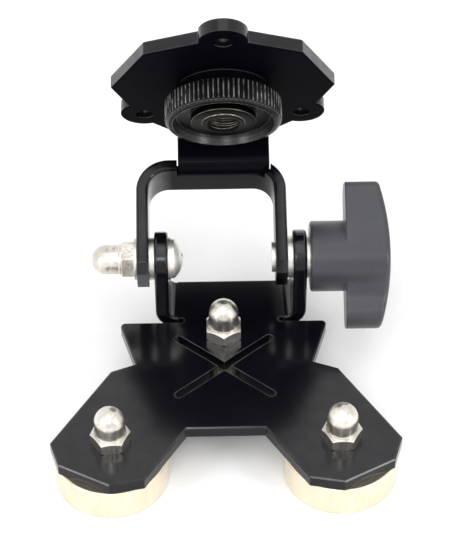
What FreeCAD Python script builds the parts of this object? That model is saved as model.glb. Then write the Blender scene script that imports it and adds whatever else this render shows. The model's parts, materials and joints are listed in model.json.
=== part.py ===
import FreeCAD, Part
import math
import os
from FreeCAD import Vector

# Magnetic tilting mount. Millimetres, +Z up. X runs along the tilt axis, -Y is the side with two feet.
# Pieces are drawn with Y = 0 at the tilt axis and Z = 0 at the magnets' faces. The last step slides
# everything along Y, so that the origin is at the bottom centre of the whole object's box.

# ---- driving dimensions: feet and base plate ----
MAGNET_R = 16.25
MAGNET_H = 10.3
MAGNET_ROUND = 0.6
MAGNET_DISC_R = 11.0
MAGNET_DISC_H = 6.5
MAGNET_DISC_LIFT = 0.4
RESIN_DROP = 0.8
SHEET = 4.0
PLATE_Z = MAGNET_H
PLATE_TOP = PLATE_Z + SHEET
FRONT_FOOT = (32.5, -55.6)
REAR_FOOT = (0.0, -14.0)
SHOULDER = (33.0, -28.7)
LEG_CORNERS = [(49.6, -55.8), (47.0, -64.2), (32.7, -71.9), (22.9, -70.0), (11.1, -51.3)]
WAIST = (25.9, -25.9)
WINGLET = (30.8, -9.2)
CORNER_R = 1.3
EDGE_BREAK = 0.35
EDGE_ROUND = 0.9
CROSS_Y = -27.3
CROSS_HALF_X = 13.3
CROSS_HALF_Y = 11.1
CROSS_W = 2.4

# ---- driving dimensions: tilt joint ----
TILT_Z = PLATE_TOP + 17.3
EAR_HALF = 8.0
EAR_L_OUT = -20.0
EAR_R_OUT = 24.6
BEND_OUT = 6.5
RELIEF_IN = 1.0
RELIEF_R = 1.0
THREAD_R = 3.0
BORE_R = 3.08
CLEAR_R = 3.3
WASHER_T = 1.6
WASHER_R = 6.2
WASHER_GAP = 0.05
LEAN = 64.7

# ---- driving dimensions: tilting bracket ----
ARM = 3.5
ARM_HALF = 8.0
ARM_END = 6.9
ARM_CHAMFER = 2.8
WEB_Z = 24.8
WEB_BEND = 9.5
TONGUE_W = 27.0
TONGUE_BEND = 4.5
TONGUE_SLIT = 0.35
FLANGE_Z = 38.5
FLANGE_R = 13.5
HEAD_X = 0.8
HEAD_B = 26.0
STUD_CLEAR_R = 8.0

# ---- driving dimensions: head ----
PAN_DISC_T = 0.5
HEAD_Z = FLANGE_Z + ARM + PAN_DISC_T
HEAD_T = 4.3
EAR_HOLE_R = 2.6
EAR_R = 7.0
EAR_FRONT = (0.0, 29.4)
EAR_SIDE = (23.25, -17.1)
SEAT_R = 24.0
SEAT_T = 2.4
PAD_T = 0.8
PAD_R = (18.5, 23.2)
SEAT_Z = HEAD_Z + HEAD_T
RING_POCKET_R = 11.5
RING_POCKET_H = 1.6
SEAT_SCREW_AT = 14.8

# ---- driving dimensions: thumb wheel and hollow stud ----
WHEEL_Z = 31.1
WHEEL_R = 16.9
WHEEL_TOP = 38.2
WHEEL_LIP = 2.0
FLUTES = 72
FLUTE_DEPTH = 0.6
WHEEL_RECESS = (9.5, 13.7)
WHEEL_RECESS_H = 2.6
WHEEL_RECESS_FLARE = 1.0
STUD_R = 7.94
STUD_SHANK_R = 7.6
STUD_HEAD_DROP = 0.5
STUD_HEAD_H = 3.0
STUD_COLLAR_R = 6.2
STUD_BORE_R = 4.15
THREAD_Z = SEAT_Z + SEAT_T + PAD_T
STUD_TOP = THREAD_Z + 9.0
RING_Z = SEAT_Z + SEAT_T - 1.3
RING_T = 1.0

# ---- driving dimensions: fasteners and clamp knob ----
NUT_AF = 10.0
NUT_HEX_H = 3.8
NUT_H = 12.6
NUT_DOME_R = 4.35
NUT_NECK_R = 4.55
PAN_R = 5.8
PAN_H = 3.6
PAN_RIM_H = 1.0
KNOB_HUB_R = 10.4
KNOB_BACK = 35.9
KNOB_TIP_R = 5.4
KNOB_SPAN = 21.5
KNOB_FAR_X = -0.4
KNOB_NEAR_X = 4.6
KNOB_NEAR_R = 2.2
KNOB_HOLLOW_R = 9.0
KNOB_BACK_ROUND = 0.5
KNOB_FACE = 49.3
KNOB_CROWN_R = 72.0
KNOB_RIM_ROUND = 1.5
KNOB_TURN = 45.6

EAR_L_IN = EAR_L_OUT + SHEET
EAR_R_IN = EAR_R_OUT - SHEET
ARM_L_IN = EAR_L_OUT - WASHER_T
ARM_L_OUT = ARM_L_IN - ARM
ARM_R_OUT = EAR_R_IN - WASHER_T
ARM_R_IN = ARM_R_OUT - ARM
X_AXIS = Vector(1, 0, 0)
Z_AXIS = Vector(0, 0, 1)


def box(x0, x1, y0, y1, z0, z1):
    return Part.makeBox(x1 - x0, y1 - y0, z1 - z0, Vector(x0, y0, z0))


def rod(radius, x, y, z0, z1):
    return Part.makeCylinder(radius, z1 - z0, Vector(x, y, z0))


def rod_x(radius, x0, x1, y=0.0, z=0.0):
    return Part.makeCylinder(radius, x1 - x0, Vector(x0, y, z), X_AXIS)


def washer_x(x0, x1, outer, inner, z):
    return rod_x(outer, x0, x1, 0.0, z).cut(rod_x(inner, x0, x1, 0.0, z))


def slab(points, z0, height):
    wire = Part.makePolygon([Vector(x, y, z0) for x, y in points + points[:1]])
    return Part.Face(wire).extrude(Vector(0, 0, height))


def slab_x(points, x0, width):
    wire = Part.makePolygon([Vector(x0, y, z) for y, z in points + points[:1]])
    return Part.Face(wire).extrude(Vector(width, 0, 0))


def lathe(profile):
    """Turn (radius, height) points about Z."""
    wire = Part.makePolygon([Vector(r, 0, z) for r, z in profile + profile[:1]])
    return Part.Face(wire).revolve(Vector(0, 0, 0), Z_AXIS, 360)


def level_edges(shape, z):
    return [e for e in shape.Edges if all(abs(v.Z - z) < 1e-6 for v in e.Vertexes)]


def upright_edges_at(shape, spots):
    found = []
    for edge in shape.Edges:
        ends = edge.Vertexes
        if len(ends) != 2 or abs(ends[0].X - ends[1].X) + abs(ends[0].Y - ends[1].Y) > 1e-6:
            continue
        if any(math.hypot(ends[0].X - x, ends[0].Y - y) < 0.01 for x, y in spots):
            found.append(edge)
    return found


def side_edges(shape, half):
    """Edges that lie in either side plane, Y = -half or Y = half, apart from those along X."""
    found = []
    for edge in shape.Edges:
        box_ = edge.BoundBox
        flat = box_.YLength < 1e-6 and abs(abs(box_.YMin) - half) < 1e-6
        if flat and box_.ZLength > 1e-3:
            found.append(edge)
    return found


def round_top_edges(ear, outer_x, sign):
    """The two arcs over the top of an ear, one on each face."""
    found = []
    for face_x in (outer_x, outer_x - sign * SHEET):
        for edge in ear.Edges:
            box_ = edge.BoundBox
            if box_.XLength < 1e-6 and abs(box_.XMin - face_x) < 1e-6 and box_.YLength > EAR_HALF:
                found.append(edge)
    return [e for e in found if e.BoundBox.ZMax > TILT_Z + 1]


def mirror_points(points):
    return [(-x, y) for x, y in reversed(points)]


def lean_back(shape):
    """Take a shape from the upright bracket frame, with the tilt axis at its origin, to rest."""
    shape.rotate(Vector(0, 0, 0), X_AXIS, -LEAN)
    shape.translate(Vector(0, 0, TILT_Z))
    return shape


def at_tilt_axis(shape):
    shape.translate(Vector(0, 0, TILT_Z))
    return shape


def leg_points():
    """Right leg outline, from the shoulder round the cut-off end to the crotch."""
    return [SHOULDER] + LEG_CORNERS


def plate_outline():
    left_bend = EAR_L_OUT + BEND_OUT
    right_bend = EAR_R_OUT - BEND_OUT
    back_left = [(-WAIST[0], WAIST[1]), (-WINGLET[0], WINGLET[1])]
    back_left += [(left_bend + RELIEF_IN, WINGLET[1]), (left_bend + RELIEF_IN, -EAR_HALF)]
    back_left += [(left_bend, -EAR_HALF), (left_bend, EAR_HALF)]
    back_right = [(right_bend, EAR_HALF), (right_bend, -EAR_HALF)]
    back_right += [(right_bend - RELIEF_IN, -EAR_HALF), (right_bend - RELIEF_IN, WINGLET[1])]
    back_right += [WINGLET, WAIST]
    return back_left + back_right + leg_points() + mirror_points(leg_points())


def cross_slots():
    cutter = None
    length = math.hypot(CROSS_HALF_X, CROSS_HALF_Y)
    angle = math.degrees(math.atan2(CROSS_HALF_Y, CROSS_HALF_X))
    for turn in (angle, -angle):
        bar = box(-length, length, -CROSS_W / 2, CROSS_W / 2, PLATE_Z - 1, PLATE_TOP + 1)
        for end in (-length, length):
            bar = bar.fuse(rod(CROSS_W / 2, end, 0, PLATE_Z - 1, PLATE_TOP + 1))
        bar.rotate(Vector(0, 0, 0), Z_AXIS, turn)
        cutter = bar if cutter is None else cutter.fuse(bar)
    cutter.translate(Vector(0, CROSS_Y, 0))
    return cutter


def bent_ear(outer_x, sign):
    """An ear bent up from the plate; sign is +1 on the right, -1 on the left."""
    centre_x = outer_x - sign * BEND_OUT
    centre_z = PLATE_Z + BEND_OUT
    ring = Part.makeCylinder(BEND_OUT, 2 * EAR_HALF, Vector(centre_x, -EAR_HALF, centre_z), Vector(0, 1, 0))
    hollow = Part.makeCylinder(BEND_OUT - SHEET, 2 * EAR_HALF,
                               Vector(centre_x, -EAR_HALF, centre_z), Vector(0, 1, 0))
    corner_x = sorted((centre_x, outer_x))
    quarter = ring.cut(hollow).common(box(corner_x[0], corner_x[1], -EAR_HALF, EAR_HALF, PLATE_Z, centre_z))
    wall_x = sorted((outer_x, outer_x - sign * SHEET))
    wall = box(wall_x[0], wall_x[1], -EAR_HALF, EAR_HALF, centre_z, TILT_Z)
    top = rod_x(EAR_HALF, wall_x[0], wall_x[1], 0, TILT_Z)
    ear = quarter.fuse(wall).fuse(top).removeSplitter()
    return ear.makeFillet(EDGE_ROUND, side_edges(ear, EAR_HALF) + round_top_edges(ear, outer_x, sign))


def base_plate():
    flat = slab(plate_outline(), PLATE_Z, SHEET)
    flat = flat.makeFillet(CORNER_R, upright_edges_at(flat, [WINGLET, (-WINGLET[0], WINGLET[1])]))
    rims = []
    for level in (PLATE_Z, PLATE_TOP):
        rims += [e for e in level_edges(flat, level) if e.BoundBox.YMax < WINGLET[1] - 0.5]
        rims += [e for e in level_edges(flat, level) if e.BoundBox.YMin > EAR_HALF - 0.5]
    flat = flat.makeChamfer(EDGE_BREAK, rims)
    flat = flat.cut(cross_slots())
    relief_y = (WINGLET[1] - EAR_HALF) / 2
    for x in (EAR_L_OUT + BEND_OUT + RELIEF_IN, EAR_R_OUT - BEND_OUT - RELIEF_IN):
        flat = flat.cut(rod(RELIEF_R, x, relief_y, PLATE_Z - 1, PLATE_TOP + 1))
    for x, y in feet():
        flat = flat.cut(rod(THREAD_R + 0.2, x, y, PLATE_Z - 1, PLATE_TOP + 1))
    plate = flat.fuse(bent_ear(EAR_L_OUT, -1)).fuse(bent_ear(EAR_R_OUT, 1)).removeSplitter()
    plate = plate.cut(rod_x(BORE_R, EAR_L_OUT - 1, EAR_L_IN + 1, 0, TILT_Z))
    return plate.cut(rod_x(CLEAR_R, EAR_R_IN - 1, EAR_R_OUT + 1, 0, TILT_Z))


def feet():
    return [(-FRONT_FOOT[0], FRONT_FOOT[1]), FRONT_FOOT, REAR_FOOT]


def magnet_cup(x, y):
    cup = lathe([(0, 0), (MAGNET_R - 0.5, 0), (MAGNET_R, 0.5), (MAGNET_R, MAGNET_H), (0, MAGNET_H)])
    cup = cup.makeFillet(MAGNET_ROUND, level_edges(cup, MAGNET_H))
    cup = cup.cut(rod(MAGNET_R - 2.5, 0, 0, -1, MAGNET_DISC_H + MAGNET_DISC_LIFT))
    cup = cup.cut(rod(THREAD_R, 0, 0, MAGNET_DISC_H, PLATE_Z + 1))
    cup.translate(Vector(x, y, 0))
    return cup


def magnet_disc(x, y):
    return rod(MAGNET_DISC_R, x, y, MAGNET_DISC_LIFT, MAGNET_DISC_H + MAGNET_DISC_LIFT)


def resin_ring(x, y):
    outer = rod(MAGNET_R - 2.5, x, y, RESIN_DROP, MAGNET_DISC_H + MAGNET_DISC_LIFT)
    return outer.cut(rod(MAGNET_DISC_R, x, y, -1, MAGNET_DISC_H + 2))


def magnet_stud(x, y):
    return rod(THREAD_R, x, y, MAGNET_DISC_H + MAGNET_DISC_LIFT, PLATE_TOP + NUT_H - 4.0)


def cap_nut():
    """Domed cap nut standing on Z = 0."""
    corner = NUT_AF / 2 / math.cos(math.radians(30))
    points = []
    for step in range(6):
        ang = math.radians(60 * step)
        points.append((corner * math.cos(ang), corner * math.sin(ang)))
    hexagon = slab(points, 0, NUT_HEX_H)
    bevel = lathe([(0, 0), (corner - 0.45, 0), (corner, 0.3), (corner, NUT_HEX_H - 0.5),
                   (corner - 0.8, NUT_HEX_H), (0, NUT_HEX_H)])
    dome_z = NUT_H - NUT_DOME_R
    neck = lathe([(0, NUT_HEX_H - 0.5), (NUT_NECK_R, NUT_HEX_H - 0.5), (NUT_NECK_R, NUT_HEX_H + 0.4),
                  (NUT_DOME_R, NUT_HEX_H + 0.9), (NUT_DOME_R, dome_z), (0, dome_z)])
    dome = Part.makeSphere(NUT_DOME_R, Vector(0, 0, dome_z))
    nut = hexagon.common(bevel).fuse(neck).fuse(dome).removeSplitter()
    return nut.cut(rod(THREAD_R, 0, 0, -1, NUT_H - 4.0))


def foot_nut(x, y, turn):
    nut = cap_nut()
    nut.rotate(Vector(0, 0, 0), Z_AXIS, turn)
    nut.translate(Vector(x, y, PLATE_TOP))
    return nut


def pivot_cap_nut():
    nut = cap_nut()
    nut.rotate(Vector(0, 0, 0), Z_AXIS, 12)
    nut.rotate(Vector(0, 0, 0), Vector(0, 1, 0), -90)
    nut.translate(Vector(ARM_L_OUT - 0.8, 0, 0))
    return at_tilt_axis(nut)


def pivot_screw():
    """Domed screw with a cross recess, head on the inner side of the left ear."""
    seat = EAR_L_IN + 0.8
    rise = PAN_H - PAN_RIM_H
    crown_r = (PAN_R ** 2 + rise ** 2) / (2 * rise)
    head = Part.makeCylinder(PAN_R, PAN_H, Vector(seat, 0, 0), X_AXIS)
    head = head.common(Part.makeSphere(crown_r, Vector(seat + PAN_H - crown_r, 0, 0)))
    for turn in (0, 90):
        bar = box(seat + PAN_H - 1.9, seat + PAN_H + 1, -2.7, 2.7, -0.55, 0.55)
        bar.rotate(Vector(0, 0, 0), X_AXIS, turn + 20)
        head = head.cut(bar)
    shank = rod_x(THREAD_R, ARM_L_OUT - 0.8 - (NUT_H - 4.0), seat)
    return at_tilt_axis(head.fuse(shank).removeSplitter())


def upright_profile():
    """The U of the bracket as a bent strip, in the upright frame."""
    web_top = WEB_Z + ARM
    outer = box(ARM_L_OUT, ARM_R_OUT, -ARM_HALF, ARM_HALF, -ARM_END, web_top)
    corners = [e for e in outer.Edges if e.BoundBox.YLength > ARM_HALF and e.BoundBox.ZMin > web_top - 0.1]
    outer = outer.makeFillet(WEB_BEND, corners)
    inner = box(ARM_L_IN, ARM_R_IN, -ARM_HALF, ARM_HALF, -ARM_END - 1, WEB_Z)
    corners = [e for e in inner.Edges if e.BoundBox.YLength > ARM_HALF and e.BoundBox.ZMin > WEB_Z - 0.1]
    inner = inner.makeFillet(WEB_BEND - ARM, corners)
    strip = outer.cut(inner)
    end, half, cut = ARM_END, ARM_HALF, ARM_CHAMFER
    side = [(-half + cut, -end), (half - cut, -end), (half, -end + cut), (half, web_top),
            (-half, web_top), (-half, -end + cut)]
    strip = strip.common(slab_x(side, ARM_L_OUT - 1, ARM_R_OUT - ARM_L_OUT + 2))
    return strip.makeFillet(EDGE_ROUND, bracket_rims(strip))


def bracket_rims(strip):
    """Every edge in the two side planes of the strip."""
    found = []
    for edge in strip.Edges:
        box_ = edge.BoundBox
        if box_.YLength < 1e-6 and abs(abs(box_.YMin) - ARM_HALF) < 1e-6:
            found.append(edge)
    return found


def tongue():
    """Tab bent up from the front edge of the web, then forward as the round seat of the head."""
    x0, x1 = HEAD_X - TONGUE_W / 2, HEAD_X + TONGUE_W / 2
    front, back = -ARM_HALF, -ARM_HALF + ARM
    low_z = WEB_Z + TONGUE_BEND
    low = rod_x(TONGUE_BEND, x0, x1, front + TONGUE_BEND, low_z)
    low = low.cut(rod_x(TONGUE_BEND - ARM, x0 - 1, x1 + 1, front + TONGUE_BEND, low_z))
    low = low.common(box(x0, x1, front, front + TONGUE_BEND, WEB_Z, low_z))
    wall_top = FLANGE_Z + ARM - TONGUE_BEND
    wall = box(x0, x1, front, back, low_z, wall_top)
    bend_y = back - TONGUE_BEND
    high = rod_x(TONGUE_BEND, x0, x1, bend_y, wall_top)
    high = high.cut(rod_x(TONGUE_BEND - ARM, x0 - 1, x1 + 1, bend_y, wall_top))
    high = high.common(box(x0, x1, bend_y, back, wall_top, FLANGE_Z + ARM))
    flange = box(x0, x1, -HEAD_B, bend_y, FLANGE_Z, FLANGE_Z + ARM)
    flange = flange.fuse(rod(FLANGE_R, HEAD_X, -HEAD_B, FLANGE_Z, FLANGE_Z + ARM))
    return low.fuse(wall).fuse(high).fuse(flange)


def tilt_bracket():
    strip = upright_profile()
    x0, x1 = HEAD_X - TONGUE_W / 2, HEAD_X + TONGUE_W / 2
    strip = strip.cut(box(x0, x1, -ARM_HALF - 1, -ARM_HALF + TONGUE_BEND, WEB_Z - 1, WEB_Z + ARM + 1))
    for edge_x in (x0 - TONGUE_SLIT, x1):
        strip = strip.cut(box(edge_x, edge_x + TONGUE_SLIT, -ARM_HALF - 1, -ARM_HALF + TONGUE_BEND + 0.6,
                              WEB_Z - 1, WEB_Z + ARM + 1))
    bracket = strip.fuse(tongue()).removeSplitter()
    bracket = bracket.cut(rod(STUD_CLEAR_R, HEAD_X, -HEAD_B, FLANGE_Z - 1, FLANGE_Z + ARM + 1))
    bracket = bracket.cut(rod_x(BORE_R, ARM_L_OUT - 1, ARM_L_IN + 1))
    bracket = bracket.cut(rod_x(THREAD_R, ARM_R_IN - 1, ARM_R_OUT + 1))
    return lean_back(bracket)


def clamp_stud():
    """Clinch stud: a thin round head on the inner face of the right arm."""
    head = rod_x(4.4, ARM_R_IN - 1.1, ARM_R_IN)
    return at_tilt_axis(head.fuse(rod_x(THREAD_R, ARM_R_IN, KNOB_BACK + 4.0)).removeSplitter())


def about_head_axis(shape):
    shape.translate(Vector(HEAD_X, -HEAD_B, 0))
    return lean_back(shape)


def wheel_rim():
    """Straight-knurled outline: a point on each crest and in each groove."""
    points = []
    for step in range(2 * FLUTES):
        ang = math.pi * step / FLUTES
        radius = WHEEL_R - FLUTE_DEPTH * (step % 2)
        points.append((radius * math.cos(ang), radius * math.sin(ang)))
    return points


def thumb_wheel():
    wheel = slab(wheel_rim(), WHEEL_Z, WHEEL_TOP - WHEEL_Z)
    rim_r = WHEEL_R + 0.1
    outline = [(0, WHEEL_Z)]
    for step in range(5):
        ang = step * math.pi / 8
        inward = WHEEL_LIP * (1 - math.sin(ang))
        outline.append((rim_r - inward, WHEEL_Z + WHEEL_LIP * (1 - math.cos(ang))))
    outline += [(rim_r, WHEEL_TOP - 0.5), (rim_r - 0.6, WHEEL_TOP), (0, WHEEL_TOP)]
    wheel = wheel.common(lathe(outline))
    inner, outer = WHEEL_RECESS
    floor_z = WHEEL_Z + WHEEL_RECESS_H
    groove = lathe([(inner, WHEEL_Z - 1), (outer + WHEEL_RECESS_FLARE, WHEEL_Z - 1),
                    (outer + WHEEL_RECESS_FLARE, WHEEL_Z), (outer, floor_z), (inner, floor_z)])
    wheel = wheel.cut(groove).cut(rod(inner, 0, 0, WHEEL_Z - 1, WHEEL_Z + STUD_HEAD_H))
    return about_head_axis(wheel.cut(rod(STUD_CLEAR_R, 0, 0, WHEEL_Z, WHEEL_TOP + 1)))


def hollow_stud():
    """Hollow screw: round head with a raised collar, plain shank, ring groove, then the larger thread."""
    head_r = WHEEL_RECESS[0]
    face = WHEEL_Z + STUD_HEAD_DROP
    shoulder = WHEEL_Z + STUD_HEAD_H
    groove_r = STUD_SHANK_R - 0.6
    stud = lathe([(0, WHEEL_Z), (STUD_COLLAR_R - 0.5, WHEEL_Z), (STUD_COLLAR_R, face),
                  (head_r - 0.4, face), (head_r, face + 0.4), (head_r, shoulder),
                  (STUD_SHANK_R, shoulder), (STUD_SHANK_R, RING_Z),
                  (groove_r, RING_Z), (groove_r, RING_Z + RING_T), (STUD_SHANK_R, RING_Z + RING_T),
                  (STUD_SHANK_R, THREAD_Z), (STUD_R, THREAD_Z),
                  (STUD_R, STUD_TOP - 1.0), (STUD_R - 1.0, STUD_TOP), (0, STUD_TOP)])
    bore = lathe([(0, WHEEL_Z - 1), (STUD_BORE_R + 1.5, WHEEL_Z - 1), (STUD_BORE_R + 0.5, WHEEL_Z),
                  (STUD_BORE_R, WHEEL_Z + 0.6), (STUD_BORE_R, STUD_TOP + 1), (0, STUD_TOP + 1)])
    return about_head_axis(stud.cut(bore))


def stud_ring():
    ring = rod(STUD_R + 2.4, 0, 0, RING_Z, RING_Z + RING_T)
    ring = ring.cut(rod(STUD_SHANK_R - 0.6, 0, 0, RING_Z - 1, RING_Z + RING_T + 1))
    return about_head_axis(ring.cut(box(-1.6, 1.6, 0, STUD_R + 4, RING_Z - 1, RING_Z + RING_T + 1)))


def wheel_washer():
    ring = rod(12.5, 0, 0, WHEEL_TOP, FLANGE_Z - WASHER_GAP)
    return about_head_axis(ring.cut(rod(STUD_CLEAR_R, 0, 0, WHEEL_TOP - 1, FLANGE_Z + 1)))


def pan_disc():
    ring = rod(FLANGE_R - 0.3, 0, 0, FLANGE_Z + ARM + WASHER_GAP, HEAD_Z)
    return about_head_axis(ring.cut(rod(STUD_CLEAR_R, 0, 0, FLANGE_Z, HEAD_Z + 1)))


def head_outline():
    """Right half of the head plate, from the front ear round to the back edge, about the head axis."""
    return [(6.9, 28.8), (22.4, 22.4), (32.4, 1.0), (26.9, -13.5), (21.8, -22.9), (14.6, -30.4)]


def head_plate():
    """The seat plate has three screw ears; its forward direction is -Y in the upright frame."""
    half = head_outline()
    outline = [(x, -y) for x, y in half + mirror_points(half)]
    plate = slab(outline, HEAD_Z, HEAD_T)
    front_x, front_b = EAR_FRONT
    side_x, side_b = EAR_SIDE
    lobes = [(front_x, front_b), (side_x, side_b), (-side_x, side_b)]
    for x, b in lobes:
        plate = plate.fuse(rod(EAR_R, x, -b, HEAD_Z, HEAD_Z + HEAD_T))
    plate = plate.fuse(box(-EAR_R, EAR_R, -front_b, 0, HEAD_Z, HEAD_Z + HEAD_T)).removeSplitter()
    rims = level_edges(plate, HEAD_Z) + level_edges(plate, HEAD_Z + HEAD_T)
    plate = plate.makeChamfer(EDGE_BREAK, rims)
    for x, b in lobes:
        plate = plate.cut(rod(EAR_HOLE_R, x, -b, HEAD_Z - 1, HEAD_Z + HEAD_T + 1))
    plate = plate.cut(rod(STUD_CLEAR_R, 0, 0, HEAD_Z - 1, HEAD_Z + HEAD_T + 1))
    for x, y in seat_screw_spots():
        plate = plate.cut(rod(1.5, x, y, HEAD_Z + 0.8, HEAD_Z + HEAD_T + 1))
    return about_head_axis(plate)


def seat_screw_spots():
    spots = []
    for step in range(3):
        ang = math.radians(30 + 120 * step)
        spots.append((SEAT_SCREW_AT * math.cos(ang), SEAT_SCREW_AT * math.sin(ang)))
    return spots


def seat_screw(x, y):
    top = SEAT_Z + SEAT_T
    screw = lathe([(0, HEAD_Z + 0.8), (1.5, HEAD_Z + 0.8), (1.5, top - 1.7), (2.9, top - 0.3),
                   (2.9, top - 0.05), (0, top - 0.05)])
    socket = slab([(math.cos(k * math.pi / 3), math.sin(k * math.pi / 3)) for k in range(6)], top - 1.2, 2)
    screw = screw.cut(socket)
    screw.translate(Vector(x, y, 0))
    return screw


def seat_screws():
    return about_head_axis(Part.makeCompound([seat_screw(x, y) for x, y in seat_screw_spots()]))


def seat_disc():
    top = SEAT_Z + SEAT_T
    disc = lathe([(STUD_CLEAR_R, SEAT_Z), (SEAT_R, SEAT_Z), (SEAT_R, top - 0.5), (SEAT_R - 0.5, top),
                  (RING_POCKET_R, top), (RING_POCKET_R, top - RING_POCKET_H),
                  (STUD_CLEAR_R, top - RING_POCKET_H)])
    for x, y in seat_screw_spots():
        hole = lathe([(0, SEAT_Z - 1), (1.5, SEAT_Z - 1), (1.5, top - 1.7), (2.9, top - 0.3),
                      (2.9, top + 1), (0, top + 1)])
        hole.translate(Vector(x, y, 0))
        disc = disc.cut(hole)
    return about_head_axis(disc)


def seat_pad():
    inner, outer = PAD_R
    top = SEAT_Z + SEAT_T
    ring = rod(outer, 0, 0, top, top + PAD_T).cut(rod(inner, 0, 0, top - 1, top + PAD_T + 1))
    return about_head_axis(ring)


def on_circle(centre, radius, angle):
    return (centre[0] + radius * math.cos(angle), centre[1] + radius * math.sin(angle))


def heading(start, end):
    return math.atan2(end[1] - start[1], end[0] - start[0])


def knob_outline():
    """Half of the two-wing outline: straight flank, blunt tip, hollow flank, then the hub's arc."""
    hub = (0.0, 0.0)
    near = (KNOB_NEAR_X, KNOB_SPAN - KNOB_NEAR_R)
    far = (KNOB_FAR_X, KNOB_SPAN - KNOB_TIP_R)
    flank = heading(hub, near) - math.acos((KNOB_HUB_R - KNOB_NEAR_R) / math.dist(hub, near))
    reach = math.dist(hub, far)
    hub_gap = KNOB_HUB_R + KNOB_HOLLOW_R
    tip_gap = KNOB_TIP_R + KNOB_HOLLOW_R
    turn = math.acos((hub_gap ** 2 + reach ** 2 - tip_gap ** 2) / (2 * hub_gap * reach))
    root = heading(hub, far) + turn
    hollow = on_circle(hub, hub_gap, root)
    into_hollow = heading(far, hollow) % (2 * math.pi)
    up = math.pi / 2
    hollow_mid = (heading(hollow, far) + heading(hollow, hub)) / 2
    return [on_circle(hub, KNOB_HUB_R, flank), on_circle(near, KNOB_NEAR_R, flank),
            on_circle(near, KNOB_NEAR_R, (flank + up) / 2), on_circle(near, KNOB_NEAR_R, up),
            on_circle(far, KNOB_TIP_R, up), on_circle(far, KNOB_TIP_R, (up + into_hollow) / 2),
            on_circle(far, KNOB_TIP_R, into_hollow), on_circle(hollow, KNOB_HOLLOW_R, hollow_mid),
            on_circle(hub, KNOB_HUB_R, root), on_circle(hub, KNOB_HUB_R, (root + math.pi + flank) / 2)]


def knob_wire(x):
    spots = knob_outline()
    edges = []
    for sign in (1, -1):
        p = [Vector(x, -sign * across, sign * along) for across, along in spots]
        next_start = Vector(x, sign * spots[0][0], -sign * spots[0][1])
        edges.append(Part.LineSegment(p[0], p[1]).toShape())
        edges.append(Part.Arc(p[1], p[2], p[3]).toShape())
        edges.append(Part.LineSegment(p[3], p[4]).toShape())
        edges.append(Part.Arc(p[4], p[5], p[6]).toShape())
        edges.append(Part.Arc(p[6], p[7], p[8]).toShape())
        edges.append(Part.Arc(p[8], p[9], next_start).toShape())
    return Part.Wire(edges)


def knob_body():
    """Moulded two-wing knob on a round hub, with a crowned outer face."""
    head = Part.Face(knob_wire(KNOB_BACK)).extrude(Vector(KNOB_FACE - KNOB_BACK, 0, 0))
    back_rim = [e for e in head.Edges if e.BoundBox.XMax < KNOB_BACK + 0.01]
    head = head.makeFillet(KNOB_BACK_ROUND, back_rim)
    crown = Part.makeSphere(KNOB_CROWN_R, Vector(KNOB_FACE - KNOB_CROWN_R, 0, 0))
    head = head.common(crown)
    rim = [e for e in head.Edges if e.BoundBox.XMin > KNOB_FACE - 6.5 and e.BoundBox.XLength > 0.01]
    head = head.makeFillet(KNOB_RIM_ROUND, rim)
    front = EAR_R_OUT + 1.0 + WASHER_GAP
    hub = rod_x(KNOB_HUB_R, front, KNOB_BACK + 3)
    edge = [e for e in hub.Edges if e.BoundBox.XMax < front + 0.01]
    hub = hub.makeFillet(0.8, edge)
    knob = head.fuse(hub)
    knob = knob.cut(rod_x(4.5, front - 1, KNOB_BACK + 5.0))
    knob.rotate(Vector(0, 0, 0), X_AXIS, -KNOB_TURN)
    return at_tilt_axis(knob)


def knob_insert():
    front = EAR_R_OUT + 1.0 + WASHER_GAP
    bush = rod_x(4.5, front, KNOB_BACK + 5.0).cut(rod_x(BORE_R, front - 1, KNOB_BACK + 4.3))
    return at_tilt_axis(bush)


def clamp_washer_outer():
    return washer_x(EAR_R_OUT, EAR_R_OUT + 1.0, WASHER_R + 0.2, CLEAR_R, TILT_Z)


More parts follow.
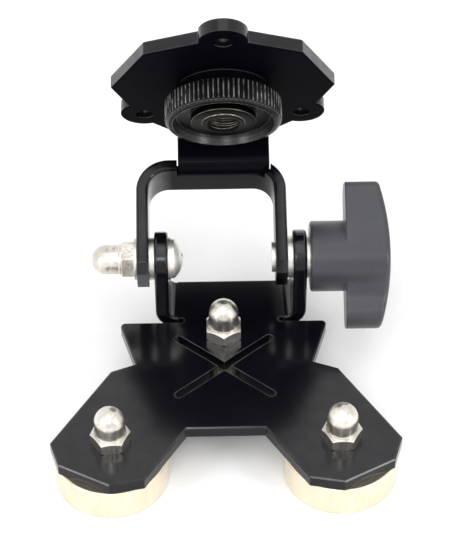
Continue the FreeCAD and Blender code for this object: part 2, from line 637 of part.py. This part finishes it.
def main():
    os.makedirs("parts", exist_ok=True)
    nodes = {"base_plate": base_plate()}
    names = ("left", "right", "rear")
    turns = (5.0, 0.0, 30.0)
    for name, (x, y), turn in zip(names, feet(), turns):
        nodes["magnet_cup_" + name] = magnet_cup(x, y)
        nodes["magnet_disc_" + name] = magnet_disc(x, y)
        nodes["magnet_resin_" + name] = resin_ring(x, y)
        nodes["magnet_stud_" + name] = magnet_stud(x, y)
        nodes["foot_cap_nut_" + name] = foot_nut(x, y, turn)
    nodes["pivot_screw"] = pivot_screw()
    nodes["pivot_head_washer"] = washer_x(EAR_L_IN, EAR_L_IN + 0.8, WASHER_R, THREAD_R, TILT_Z)
    nodes["pivot_spacer_washer"] = washer_x(ARM_L_IN + WASHER_GAP, EAR_L_OUT, WASHER_R, THREAD_R, TILT_Z)
    nodes["pivot_nut_washer"] = washer_x(ARM_L_OUT - 0.8, ARM_L_OUT - WASHER_GAP, WASHER_R, THREAD_R, TILT_Z)
    nodes["pivot_cap_nut"] = pivot_cap_nut()
    nodes["clamp_friction_washer"] = washer_x(ARM_R_OUT + WASHER_GAP, EAR_R_IN, WASHER_R, BORE_R, TILT_Z)
    nodes["clamp_outer_washer"] = clamp_washer_outer()
    nodes["tilt_bracket"] = tilt_bracket()
    nodes["clamp_stud"] = clamp_stud()
    nodes["knob_body"] = knob_body()
    nodes["knob_insert"] = knob_insert()
    nodes["thumb_wheel"] = thumb_wheel()
    nodes["hollow_stud"] = hollow_stud()
    nodes["stud_ring"] = stud_ring()
    nodes["wheel_washer"] = wheel_washer()
    nodes["pan_disc"] = pan_disc()
    nodes["head_plate"] = head_plate()
    nodes["seat_disc"] = seat_disc()
    nodes["seat_pad"] = seat_pad()
    nodes["seat_screws"] = seat_screws()
    whole = Part.makeCompound(list(nodes.values())).optimalBoundingBox(False)
    slide = -(whole.YMin + whole.YMax) / 2
    print("tilt axis at Y", round(slide, 3), "Z", round(TILT_Z, 3), "X box", whole.XMin, whole.XMax)
    for name, shape in nodes.items():
        shape.translate(Vector(0, slide, 0))
        print(name, "valid", shape.isValid(), "solids", len(shape.Solids), "mm3", round(shape.Volume, 1))
        shape.exportStep("parts/" + name + ".step")


main()
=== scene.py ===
# %% [markdown]
# # A magnetic tilting instrument mount
# A black steel plate stands on three pot magnets. Two ears bent up from it carry a tilting bracket,
# and the bracket carries a round seat that a knurled wheel clamps from below.
# The solids come ready made and in place, so the work here is finish, light and the threaded screw.
# Every length below is in metres, and the origin is under the middle of the mount.

# %% Load the solids and keep their box
import json
import math
import bpy
from mathutils import Matrix, Vector


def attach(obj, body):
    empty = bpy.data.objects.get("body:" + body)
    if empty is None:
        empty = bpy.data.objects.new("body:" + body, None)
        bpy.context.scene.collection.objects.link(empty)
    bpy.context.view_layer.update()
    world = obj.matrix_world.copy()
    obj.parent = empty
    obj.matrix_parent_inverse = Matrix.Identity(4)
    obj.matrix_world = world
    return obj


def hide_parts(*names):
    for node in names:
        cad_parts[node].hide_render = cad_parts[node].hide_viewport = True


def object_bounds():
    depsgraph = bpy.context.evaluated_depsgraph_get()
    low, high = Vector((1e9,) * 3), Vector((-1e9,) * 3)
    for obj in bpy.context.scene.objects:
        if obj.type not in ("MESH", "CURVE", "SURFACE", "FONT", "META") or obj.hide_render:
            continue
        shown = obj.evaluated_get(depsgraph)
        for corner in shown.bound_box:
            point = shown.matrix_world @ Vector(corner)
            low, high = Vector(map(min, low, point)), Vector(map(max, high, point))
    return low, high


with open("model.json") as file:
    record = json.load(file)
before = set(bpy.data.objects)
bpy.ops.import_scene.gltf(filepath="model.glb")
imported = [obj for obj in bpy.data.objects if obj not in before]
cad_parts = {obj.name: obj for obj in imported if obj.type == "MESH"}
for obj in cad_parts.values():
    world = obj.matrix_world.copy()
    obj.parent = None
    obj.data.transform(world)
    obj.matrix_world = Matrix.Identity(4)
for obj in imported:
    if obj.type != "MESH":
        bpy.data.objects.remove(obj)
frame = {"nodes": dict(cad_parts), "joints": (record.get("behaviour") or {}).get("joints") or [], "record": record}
cad_low, cad_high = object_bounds()
print("box of the solids", [round(v * 1000, 1) for v in (*cad_low, *cad_high)])

# %% [markdown]
# A viewpoint in front and 44 degrees up shows the plate, the hinge and the underside of the seat.
# A camera can be placed by hand, by a constraint or by an aim point with a distance and two angles.
# The aim point is used here, because it keeps the framing when the distance changes.

# %% Place the camera
MM = 0.001
AIM = Vector((4.03, 24.5, 14.3)) * MM
DISTANCE = 650 * MM
YAW = -0.0203
ELEVATION = 0.7741
ROLL = -0.0021
LENS = 141.24

back = Vector((math.sin(YAW) * math.cos(ELEVATION), -math.cos(YAW) * math.cos(ELEVATION),
               math.sin(ELEVATION)))
level_right = (-back).cross(Vector((0, 0, 1))).normalized()
level_up = level_right.cross(-back)
right = level_right * math.cos(ROLL) + level_up * math.sin(ROLL)
up = right.cross(-back)
camera_data = bpy.data.cameras.new("camera")
camera_data.lens = LENS
camera_data.sensor_width = 36.0
camera_data.clip_start = 0.01
camera_data.clip_end = 20.0
camera = bpy.data.objects.new("camera", camera_data)
turn = Matrix((right, up, back)).transposed().to_4x4()
camera.matrix_world = Matrix.Translation(AIM + back * DISTANCE) @ turn
bpy.context.scene.collection.objects.link(camera)
bpy.context.scene.camera = camera
print("camera at", [round(v, 3) for v in camera.location])

# %% [markdown]
# Small bright hardware shows what stands around it, so the light is a white tent: a pale sky all
# round and a pale floor. A wide box above fills the top faces, a small one in front puts thin lines
# on rounded edges, and a tall one on each side puts streaks on the knurl and the nuts.
# Point lamps would give hard dots on the cap nuts, and a sky picture would need a file.

# %% Light the mount
SKY = 1.04


def soft_box(name, place, aim, size, watts):
    data = bpy.data.lights.new(name, "AREA")
    data.shape = "RECTANGLE"
    data.size, data.size_y = size
    data.energy = watts
    lamp = bpy.data.objects.new(name, data)
    aimed = (Vector(aim) - Vector(place)).to_track_quat("-Z", "Y").to_matrix().to_4x4()
    lamp.matrix_world = Matrix.Translation(place) @ aimed
    bpy.context.scene.collection.objects.link(lamp)
    return lamp


sky = bpy.data.worlds.new("white_tent")
sky.use_nodes = True
sky.node_tree.nodes["Background"].inputs["Color"].default_value = (1.0, 1.0, 1.0, 1.0)
sky.node_tree.nodes["Background"].inputs["Strength"].default_value = SKY
bpy.context.scene.world = sky
middle = (cad_low + cad_high) / 2
soft_box("box_above", (0.0, -0.20, 0.85), middle, (0.6, 0.6), 0.9)
soft_box("box_front", (-0.10, -0.62, 0.62), middle, (0.2, 0.2), 0.9)
soft_box("box_left", (-0.62, -0.45, 0.40), middle, (0.12, 0.5), 1.5)
soft_box("box_right", (0.62, -0.45, 0.40), middle, (0.12, 0.5), 1.8)
bpy.context.scene.view_settings.view_transform = "Standard"

# %% [markdown]
# Finishes are node trees. Writing them node by node is long, so one small class stands for a
# socket: sums on it add Math nodes, and `node` adds any other kind.
# With it a mask reads as it would on paper, such as `wear * (1 - dirt)`.

# %% Write shader sums as plain sums


class Wire:
    """An output socket of a shader tree. Arithmetic on it adds Math nodes."""

    def __init__(self, tree, socket=None):
        self.tree = tree
        self.socket = socket

    def node(self, kind, settings=None, inputs=None, output=0):
        """Add a node: settings first, then a value or a Wire for each socket."""
        new = self.tree.nodes.new(kind)
        for key, value in (settings or {}).items():
            setattr(new, key, value)
        for key, value in (inputs or {}).items():
            if isinstance(value, Wire):
                self.tree.links.new(value.socket, new.inputs[key])
            else:
                new.inputs[key].default_value = value
        return Wire(self.tree, new.outputs[output])

    def maths(self, operation, first, second=0.0):
        return self.node("ShaderNodeMath", {"operation": operation}, {0: first, 1: second})

    def __add__(self, other):
        return self.maths("ADD", self, other)

    def __radd__(self, other):
        return self.maths("ADD", other, self)

    def __sub__(self, other):
        return self.maths("SUBTRACT", self, other)

    def __rsub__(self, other):
        return self.maths("SUBTRACT", other, self)

    def __mul__(self, other):
        return self.maths("MULTIPLY", self, other)

    def __rmul__(self, other):
        return self.maths("MULTIPLY", other, self)

    def clamped(self, low, high):
        """Stretch low..high to 0..1 and hold it there."""
        sockets = {"Value": self, "From Min": low, "From Max": high}
        return self.node("ShaderNodeMapRange", {"clamp": True}, sockets)

    def blend(self, dark, light):
        """Mix two colours or two colour wires by this mask."""
        sockets = {0: self, 6: rgba(dark), 7: rgba(light)}
        return self.node("ShaderNodeMix", {"data_type": "RGBA"}, sockets, output=2)


def rgba(colour):
    return colour if isinstance(colour, Wire) else (*colour, 1.0)


print("shader sums ready")

# %% [markdown]
# Three patterns serve most finishes: grain at a chosen size, rings round an axis as a lathe leaves
# them, and a mask of the edges. The edge mask marks where a finish rubs thin, and on the black coats
# and turned parts also where a painted highlight goes along an edge.
# Vertex paint could hold the edge mask, but the Bevel node finds edges on any mesh by itself:
# where its rounded normal leaves the true normal, an edge is near.

# %% Make grain, lathe rings and edge wear


def start(name):
    """A new material's tree as a Wire, with its shader."""
    finish = bpy.data.materials.new(name)
    finish.use_nodes = True
    tree = finish.node_tree
    return finish, Wire(tree), tree.nodes["Principled BSDF"]


def place_on_object(wire):
    return wire.node("ShaderNodeTexCoord", output=3)


def grain(wire, size, detail=2.0, stretch=None):
    """Noise from 0 to 1 whose lumps are about this many metres across."""
    spot = place_on_object(wire)
    if stretch:
        spot = wire.node("ShaderNodeVectorMath", {"operation": "MULTIPLY"}, {0: spot, 1: stretch})
    sockets = {"Vector": spot, "Scale": 1.0 / size, "Detail": detail, "Roughness": 0.55}
    return wire.node("ShaderNodeTexNoise", None, sockets)


def distance_from_axis(wire, centre, axis):
    offset = wire.node("ShaderNodeVectorMath", {"operation": "SUBTRACT"},
                       {0: place_on_object(wire), 1: centre})
    across = wire.node("ShaderNodeVectorMath", {"operation": "CROSS_PRODUCT"}, {0: offset, 1: axis})
    return wire.node("ShaderNodeVectorMath", {"operation": "LENGTH"}, {0: across}, output=1)


def lathe_rings(wire, radius, pitch):
    """Fine grooves round an axis, 0 to 1."""
    return wire.maths("SINE", radius * (2 * math.pi / pitch)) * 0.5 + 0.5


def edge_closeness(wire, reach):
    """1 on an edge, falling to 0 within reach of it."""
    rounded = wire.node("ShaderNodeBevel", {"samples": 6}, {"Radius": reach})
    true = wire.node("ShaderNodeNewGeometry", output=1)
    sockets = {0: rounded, 1: true}
    along = wire.node("ShaderNodeVectorMath", {"operation": "DOT_PRODUCT"}, sockets, output=1)
    return (1.0 - along).clamped(0.01, 0.22)


def facing(wire, axis):
    """1 on faces that look along the axis either way, 0 on faces that stand beside it.

    The normal is the world's and the axis is the one at rest, so the mask drifts when the piece tilts.
    """
    true = wire.node("ShaderNodeNewGeometry", output=1)
    along = wire.node("ShaderNodeVectorMath", {"operation": "DOT_PRODUCT"}, {0: true, 1: axis}, output=1)
    return wire.maths("ABSOLUTE", along)


def bumped(wire, height, depth, soft_edge):
    """A normal with the height's relief, over edges rounded by soft_edge."""
    rounded = wire.node("ShaderNodeBevel", {"samples": 4}, {"Radius": soft_edge})
    return wire.node("ShaderNodeBump", None, {"Strength": 1.0, "Distance": depth, "Height": height,
                                              "Normal": rounded})


def finish_with(wire, shader, **sockets):
    for name, value in sockets.items():
        socket = shader.inputs[name.replace("_", " ")]
        if isinstance(value, Wire):
            wire.tree.links.new(value.socket, socket)
        else:
            socket.default_value = value


print("patterns ready")

# %% [markdown]
# The base, the bracket and the seat plate wear a black powder coat. It mirrors its surroundings softly,
# has a faint orange peel, and turns grey at its edges, partly as handling wear and partly as a painted
# highlight along the edges.
# A flat black would look like a hole, so roughness and colour both wander a little.
# A mask says where each coat is glossy: the base on its level faces, the bracket on its arms,
# and the seat plate on its cut rim, beside the head's axis. The painted edge highlight shows only where
# this mask is glossy. The axis comes from the wheel's joint.

# %% Mix the black coats
joints = {joint["name"]: joint for joint in frame["joints"]}
head_point = Vector(joints["wheel_turn"]["pos_m"])
head_axis = Vector(joints["wheel_turn"]["axis"])
COAT_DARK = (0.0010, 0.0010, 0.0024)
COAT_LIGHT = (0.0028, 0.0026, 0.0052)
COAT_EDGE = 0.6 * MM
COAT_PEEL = 1.6 * MM
ARM_GLOSS_FROM = 14.5 * MM
ARM_GLOSS_FULL = 18.0 * MM


def black_coat(name, roughness, specular, peel, rubbed_and_highlight, glossy):
    """A powder coat. Its edges turn the grey given after peel, partly wear and partly a painted highlight, and
    glossy(wire) masks the shiny areas, which are the only places that grey shows.
    """
    finish, wire, shader = start(name)
    cloud = grain(wire, 12.0 * MM, 3.0)
    fleck = grain(wire, 0.5 * MM, 2.0)
    handled = grain(wire, 5.0 * MM, 4.0).clamped(0.35, 0.65)
    gloss = glossy(wire)
    # Edge grey: partly handling wear, partly a painted highlight along the edges, kept to the glossy areas.
    edge_tint = edge_closeness(wire, COAT_EDGE) * (0.35 + handled * 0.65) * gloss
    coat = (cloud * 0.6 + fleck * 0.4).blend(COAT_DARK, COAT_LIGHT)
    finish_with(wire, shader, Base_Color=edge_tint.blend(coat, rubbed_and_highlight),
                Coat_Weight=gloss * (0.8 + handled * 0.2), Coat_Roughness=0.14,
                Roughness=roughness + cloud * 0.08 + fleck * 0.05 + edge_tint * 0.1,
                Specular_IOR_Level=specular,
                Normal=bumped(wire, grain(wire, COAT_PEEL, 1.0), peel, COAT_EDGE))
    return finish


def level_faces(wire):
    """Glossy where a face lies level."""
    return 0.3 + facing(wire, (0.0, 0.0, 1.0)).clamped(0.3, 0.9) * 0.7


def arms(wire):
    """Glossy out at the bracket's two arms, matt on the tongue between them."""
    x = wire.node("ShaderNodeSeparateXYZ", None, {0: place_on_object(wire)})
    return 0.03 + wire.maths("ABSOLUTE", x).clamped(ARM_GLOSS_FROM, ARM_GLOSS_FULL) * 0.8


def rim(wire):
    """Glossy on the cut rim, which stands beside the head's axis."""
    return (1.0 - facing(wire, head_axis)).clamped(0.3, 0.8)


# The grey in each call is the colour of its edges, partly wear and partly a painted highlight; the head's is
# lightest, for the bright lines on its rim.
plate_coat = black_coat("smooth_black_powder_coat", 0.14, 0.12, 0.006 * MM, (0.15, 0.15, 0.155),
                        level_faces)
bracket_coat = black_coat("bracket_black_powder_coat", 0.20, 0.03, 0.008 * MM, (0.12, 0.11, 0.105), arms)
head_coat = black_coat("satin_black_head_coat", 0.36, 0.01, 0.01 * MM, (0.19, 0.19, 0.195), rim)
print("coats:", plate_coat.name, bracket_coat.name, head_coat.name)

# %% [markdown]
# Cap nuts and magnet cups are nickel plated: a warm, bright metal that is never quite even,
# because the pressed steel under it is a little lumpy.
# The lumps go in as a shallow bump, which breaks the mirror image as on the real nuts.

# %% Mix the bright metals
STREAK_STRETCH = (1.0, 1.0, 0.12)


def bright_metal(name, low, high, roughness, lump, lump_depth, streak_depth=0.0):
    """A plated or drawn metal. Streaks run up the piece, as a press tool leaves them."""
    finish, wire, shader = start(name)
    cloud = grain(wire, 6.0 * MM, 4.0)
    streak = grain(wire, 1.1 * MM, 3.0, stretch=STREAK_STRETCH)
    edge_tint = edge_closeness(wire, 0.4 * MM)
    colour = (cloud * 0.6 + streak * 0.4).clamped(0.3, 0.7).blend(low, high)
    relief = grain(wire, lump, 2.0) * lump_depth + streak * streak_depth
    finish_with(wire, shader, Base_Color=edge_tint.blend(colour, high), Metallic=1.0,
                Roughness=roughness + cloud * 0.08 + streak * 0.08,
                Normal=bumped(wire, relief, 1.0, 0.2 * MM))
    return finish


nickel = bright_metal("warm_nickel_plate", (0.56, 0.52, 0.45), (0.91, 0.88, 0.81), 0.23,
                      1.3 * MM, 0.10 * MM, 0.12 * MM)
magnet_nickel = bright_metal("magnet_cup_nickel", (0.80, 0.70, 0.53), (0.93, 0.85, 0.71), 0.16,
                             8.0 * MM, 0.06 * MM, 0.004 * MM)
zinc = bright_metal("bright_zinc_plate", (0.84, 0.82, 0.76), (0.98, 0.96, 0.91), 0.36,
                    1.5 * MM, 0.03 * MM)
magnet_skin = bright_metal("magnet_disc_nickel", (0.48, 0.47, 0.45), (0.66, 0.65, 0.62), 0.22,
                           1.5 * MM, 0.02 * MM)
brass = bright_metal("turned_brass", (0.50, 0.34, 0.13), (0.78, 0.60, 0.30), 0.2, 1.0 * MM, 0.02 * MM)
print("metals:", nickel.name, magnet_nickel.name, zinc.name, magnet_skin.name, brass.name)

# %% [markdown]
# The wheel, the seat disc and the hollow screw are turned parts, and a lathe leaves fine rings round
# the head's axis. A bump that follows the radius gives the rings without any mesh for them.
# On the wheel the radius also tells the knurl's crests from its grooves, and the recess's wall.
# The crests turn light, partly wear and partly a painted glint; the grooves are painted near black as
# shade; the wall is painted lighter as a reflection of the sky; and the face edges turn a light grey,
# partly wear and partly a painted highlight.

# %% Mix the turned black parts
RING_PITCH = 0.45 * MM
COARSE_RING_PITCH = 1.3 * MM
KNURL = (16.68 * MM, 16.9 * MM)
KNURL_GROOVE = KNURL[0] - 0.4 * MM
RIM_FROM = (15.8 * MM, 16.0 * MM)
RECESS_TO = (15.0 * MM, 15.2 * MM)


def turned_black(name, base, metallic, roughness, rubbed_and_highlight, ring_depth, knurled=False):
    """A turned finish whose edges turn the colour given, partly wear and partly a painted highlight. A knurl's
    crests turn light as wear and painted glint, its grooves are painted near black as shade, and its recess wall
    is painted lighter as a reflection.
    """
    finish, wire, shader = start(name)
    cloud = grain(wire, 8.0 * MM, 3.0)
    radius = distance_from_axis(wire, head_point, head_axis)
    rings = lathe_rings(wire, radius, RING_PITCH)
    coarse = lathe_rings(wire, radius, COARSE_RING_PITCH)
    edge_tint = edge_closeness(wire, 0.5 * MM) * grain(wire, 2.5 * MM, 3.0).clamped(0.1, 0.5)
    colour = (cloud * 0.5 + rings * 0.5).blend([v * 0.5 for v in base], [v * 1.5 for v in base])
    if knurled:
        beside = 1.0 - facing(wire, head_axis).clamped(0.45, 0.75)
        # Crests: partly wear, partly a painted glint.
        crest = radius.clamped(*KNURL) * grain(wire, 2.2 * MM, 4.0).clamped(0.38, 0.62)
        outside = radius.clamped(*RIM_FROM) * beside
        # Painted shade: the knurl's grooves are coloured near black.
        painted_groove_shade = (1.0 - radius.clamped(KNURL_GROOVE, KNURL[1])) * outside
        colour = (painted_groove_shade * 0.9).blend(colour, (0.002, 0.002, 0.002))
        # Painted reflection: the recess's wall, which faces up, is coloured lighter.
        painted_wall_light = beside * (1.0 - radius.clamped(*RECESS_TO))
        colour = (painted_wall_light * (0.3 + cloud * 0.7)).blend(colour, (0.050, 0.046, 0.045))
        # Face edges and crests take the light edge colour, partly wear and partly a painted highlight.
        edge_tint = edge_tint * (1.0 - beside) + crest * outside
    finish_with(wire, shader, Base_Color=edge_tint.blend(colour, rubbed_and_highlight), Metallic=metallic,
                Roughness=roughness + cloud * 0.1 + rings * 0.06,
                Normal=bumped(wire, rings * 0.7 + coarse * 0.3, ring_depth, 0.2 * MM))
    return finish


# The light colour in each call is the colour of the edges, partly wear and partly a painted highlight; on the
# oxide it also paints warm glints on the screw's edges and thread crests.
wheel_black = turned_black("black_anodised_wheel", (0.018, 0.018, 0.020), 0.75, 0.20, (0.46, 0.44, 0.43),
                           0.012 * MM, knurled=True)
seat_black = turned_black("black_anodised_seat", (0.016, 0.016, 0.020), 0.6, 0.32, (0.10, 0.10, 0.10),
                          0.012 * MM)
oxide = turned_black("black_oxide_steel", (0.004, 0.004, 0.004), 0.9, 0.22, (0.60, 0.54, 0.44),
                     0.008 * MM)
print("turned finishes:", wheel_black.name, seat_black.name, oxide.name)

# %% [markdown]
# The clamp knob is moulded in dark grey nylon with a fine spark-eroded texture, which scatters the
# light evenly. The texture could be displaced geometry, but it is under a tenth of a millimetre
# deep, so a bump is enough. Washers, resin and pad are the same finish in blacker mixes.

# %% Mix the plastics and the rubber


def moulded(name, low, high, roughness, tooth, depth, edge):
    """A moulded finish whose pits are about tooth across."""
    finish, wire, shader = start(name)
    cloud = grain(wire, 10.0 * MM, 3.0)
    pits = grain(wire, tooth, 3.0)
    edge_tint = edge_closeness(wire, 0.8 * MM) * grain(wire, 3.0 * MM, 3.0).clamped(0.35, 0.65)
    colour = (cloud * 0.6 + pits * 0.4).blend(low, high)
    finish_with(wire, shader, Base_Color=edge_tint.blend(colour, edge),
                Roughness=roughness + pits * 0.15 + cloud * 0.05,
                Normal=bumped(wire, pits, depth, 0.4 * MM))
    return finish


knob_nylon = moulded("dark_grey_nylon", (0.020, 0.021, 0.026), (0.052, 0.053, 0.062), 0.20,
                     0.5 * MM, 0.06 * MM, (0.13, 0.13, 0.14))
black_nylon = moulded("black_nylon", (0.010, 0.010, 0.010), (0.02, 0.02, 0.02), 0.5,
                      0.8 * MM, 0.02 * MM, (0.04, 0.04, 0.04))
resin = moulded("potting_resin", (0.012, 0.012, 0.012), (0.03, 0.03, 0.03), 0.3,
                1.5 * MM, 0.06 * MM, (0.05, 0.05, 0.05))
rubber = moulded("seat_rubber", (0.012, 0.012, 0.012), (0.026, 0.026, 0.026), 0.6,
                 0.5 * MM, 0.05 * MM, (0.06, 0.06, 0.06))
print("plastics:", knob_nylon.name, black_nylon.name, resin.name, rubber.name)

# %% [markdown]
# The 34 solids that stay keep their shapes and only change their finish. A finish could be chosen
# from each node's slot, but one table shows at a glance which piece wears what.

# %% Put the finishes on the solids
FINISHES = {
    plate_coat: ["base_plate"],
    bracket_coat: ["tilt_bracket"],
    head_coat: ["head_plate"],
    nickel: ["foot_cap_nut_left", "foot_cap_nut_right", "foot_cap_nut_rear", "pivot_cap_nut"],
    magnet_nickel: ["magnet_cup_left", "magnet_cup_right", "magnet_cup_rear"],
    magnet_skin: ["magnet_disc_left", "magnet_disc_right", "magnet_disc_rear"],
    resin: ["magnet_resin_left", "magnet_resin_right", "magnet_resin_rear"],
    zinc: ["magnet_stud_left", "magnet_stud_right", "magnet_stud_rear", "pivot_screw", "pivot_head_washer",
           "pivot_spacer_washer", "pivot_nut_washer", "clamp_friction_washer", "clamp_outer_washer",
           "clamp_stud", "stud_ring"],
    brass: ["knob_insert"],
    knob_nylon: ["knob_body"],
    wheel_black: ["thumb_wheel"],
    seat_black: ["seat_disc"],
    oxide: ["seat_screws"],
    black_nylon: ["wheel_washer", "pan_disc"],
}
for finish, names in FINISHES.items():
    for name in names:
        solid = frame["nodes"][name]
        solid.data.materials.clear()
        solid.data.materials.append(finish)
print(sum(len(names) for names in FINISHES.values()), "solids finished")

# %% [markdown]
# The hollow screw carries a coarse 11 to the inch thread for the instrument and a finer one in its
# bore. A texture cannot give a thread's outline, so the thread is meshed.
# The mesh is a stack of rings. In a thread the rings climb one pitch a turn, so that each crest
# is a clean line, and at its ends they flatten into the plain rings next to them.

# %% Mesh a turned and threaded piece
COLUMNS = 96
THREAD_WAVE = (0.0, 0.0, 0.5, 1.0, 1.0, 0.5)


def plain_ring(radius, height):
    return [(radius, height)] * (COLUMNS + 1)


def thread_rings(root, crest, end_radius, bottom, top, pitch):
    """Rings that climb one pitch a turn between two heights."""
    step = pitch / len(THREAD_WAVE)
    last = math.ceil((top - bottom) / step)
    rings = []
    for number in range(-len(THREAD_WAVE), last + 1):
        ring = []
        for column in range(COLUMNS + 1):
            height = bottom + (number + len(THREAD_WAVE) * column / COLUMNS) * step
            inside = min(1.0, max(0.0, min(height - bottom, top - height) / (0.5 * pitch)))
            height = min(max(height, bottom), top)
            radius = root + (crest - root) * THREAD_WAVE[number % len(THREAD_WAVE)]
            ring.append((end_radius + (radius - end_radius) * inside, height))
        rings.append(ring)
    return rings


def mesh_from_rings(name, rings):
    """Join a closed stack of rings into one skin, turned onto the head's axis."""
    sideways = head_axis.orthogonal().normalized()
    across = head_axis.cross(sideways)
    points = []
    index = {}

    def corner(ring, column):
        radius, height = rings[ring][column]
        angle = 2 * math.pi * column / COLUMNS
        spot = seat_centre + head_axis * height
        spot = spot + (sideways * math.cos(angle) + across * math.sin(angle)) * radius
        key = tuple(round(v, 7) for v in spot)
        if key not in index:
            index[key] = len(points)
            points.append(spot)
        return index[key]

    faces = []
    for ring in range(len(rings)):
        above = (ring + 1) % len(rings)
        for column in range(COLUMNS):
            loop = [corner(ring, column), corner(ring, column + 1), corner(above, column + 1),
                    corner(above, column)]
            loop = [spot for place, spot in enumerate(loop) if spot != loop[place - 1]]
            if len(loop) > 2:
                faces.append(loop)
    mesh = bpy.data.meshes.new(name)
    mesh.from_pydata(points, [], faces)
    mesh.validate()
    mesh.shade_smooth()
    mesh.set_sharp_from_angle(angle=math.radians(35))
    piece = bpy.data.objects.new(name, mesh)
    bpy.context.scene.collection.objects.link(piece)
    return piece


mounts = {mount["name"]: mount for mount in frame["record"]["mounts"]}
stud_dims = mounts["instrument_stud"]["dims"]
seat_centre = Vector(mounts["instrument_stud"]["pos_m"]) - head_axis * stud_dims["length_mm"] * MM / 2
print("seat centre", [round(v * 1000, 2) for v in seat_centre])

# %% [markdown]
# Heights are measured from the seat, along the head's axis: the thread stands above it and the
# round head, with its raised collar, ends in the wheel below.

# %% Turn the hollow screw
INCH = 25.4 * MM
OUTER_PITCH = INCH / 11
BORE_PITCH = INCH / 16
THREAD_R = stud_dims["r_mm"] * MM
BORE_R = mounts["centre_bore"]["dims"]["r_mm"] * MM
SHANK_R = 7.6 * MM
ROOT_R = THREAD_R - 1.25 * MM
BORE_ROOT_R = BORE_R + 0.55 * MM
THREAD_TOP = 8.2 * MM
BORE_THREAD_BOTTOM = -18.1 * MM
# radius and height in millimetres: collar, round head, shank with its ring groove
SHANK_PROFILE = ((5.7, -18.9), (5.95, -18.85), (6.2, -18.6), (6.2, -18.4), (9.1, -18.4), (9.4, -18.3),
                 (9.5, -18.0), (9.5, -15.9), (7.6, -15.9), (7.6, -2.1), (7.0, -2.1), (7.0, -1.1),
                 (7.6, -1.1), (7.6, 0.0))
CROWN_PROFILE = ((7.5, 8.35), (6.94, 9.0), (4.95, 9.0), (4.6, 8.9), (4.15, 8.45))
MOUTH_PROFILE = ((4.15, -18.3), (4.65, -18.8), (5.0, -18.9))


def turned(profile):
    return [plain_ring(radius * MM, height * MM) for radius, height in profile]


stud_thread = thread_rings(ROOT_R, THREAD_R, SHANK_R, 0.0, THREAD_TOP, OUTER_PITCH)
bore_thread = thread_rings(BORE_ROOT_R, BORE_R, BORE_R, BORE_THREAD_BOTTOM, THREAD_TOP, BORE_PITCH)
bore_thread.reverse()
stack = turned(SHANK_PROFILE) + stud_thread + turned(CROWN_PROFILE) + bore_thread + turned(MOUTH_PROFILE)
hollow_screw = mesh_from_rings("hollow_instrument_screw", stack)
hollow_screw.data.materials.append(oxide)
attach(hollow_screw, "wheel")
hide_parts("hollow_stud")
print("hollow screw:", len(hollow_screw.data.polygons), "faces")

# %% [markdown]
# A ring of rubber on the seat keeps the instrument from slipping. It is moulded with ribs, and the
# same stack of rings makes it.

# %% Mould the ribbed seat pad
PAD_IN, PAD_OUT, PAD_T = 18.5 * MM, 23.2 * MM, 0.8 * MM
RIBS = 6
RIB_PITCH = (PAD_OUT - PAD_IN) / RIBS
RIB_DROP = -0.35 * MM
RIB_SHAPE = ((0.12, 0.0), (0.62, 0.0), (0.74, RIB_DROP), (0.98, RIB_DROP))
pad_rings = [plain_ring(PAD_IN, -PAD_T), plain_ring(PAD_IN, -0.15 * MM)]
for rib in range(RIBS):
    left = PAD_IN + rib * RIB_PITCH
    for share, height in RIB_SHAPE:
        if rib < RIBS - 1 or height == 0.0:
            pad_rings.append(plain_ring(left + share * RIB_PITCH, height))
pad_rings += [plain_ring(PAD_OUT, -0.2 * MM), plain_ring(PAD_OUT, -PAD_T)]
pad_rings.reverse()
seat_ring = mesh_from_rings("ribbed_seat_pad", pad_rings)
seat_ring.data.materials.append(rubber)
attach(seat_ring, "head")
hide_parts("seat_pad")
print("seat pad:", len(seat_ring.data.polygons), "faces")

# %% [markdown]
# The mount stands on a plain pale floor, which also throws white light up under the dark parts.
# A curved backdrop would do the same, but from this high the floor already fills the picture.
# The floor is not part of the mount.

# %% Lay the floor
FLOOR_HALF = 1.5
FLOOR_DROP = 0.05 * MM
floor_mesh = bpy.data.meshes.new("pale_floor")
corners = [(x * FLOOR_HALF, y * FLOOR_HALF, -FLOOR_DROP) for x, y in ((-1, -1), (1, -1), (1, 1), (-1, 1))]
floor_mesh.from_pydata(corners, [], [(0, 1, 2, 3)])
floor = bpy.data.objects.new("pale_floor", floor_mesh)
bpy.context.scene.collection.objects.link(floor)
paper, wire, shader = start("pale_paper")
tooth = grain(wire, 2.0 * MM, 3.0)
finish_with(wire, shader, Base_Color=tooth.blend((0.92, 0.92, 0.92), (0.95, 0.95, 0.95)), Roughness=0.85,
            Specular_IOR_Level=0.2)
floor_mesh.materials.append(paper)
print("floor", 2 * FLOOR_HALF, "m wide")
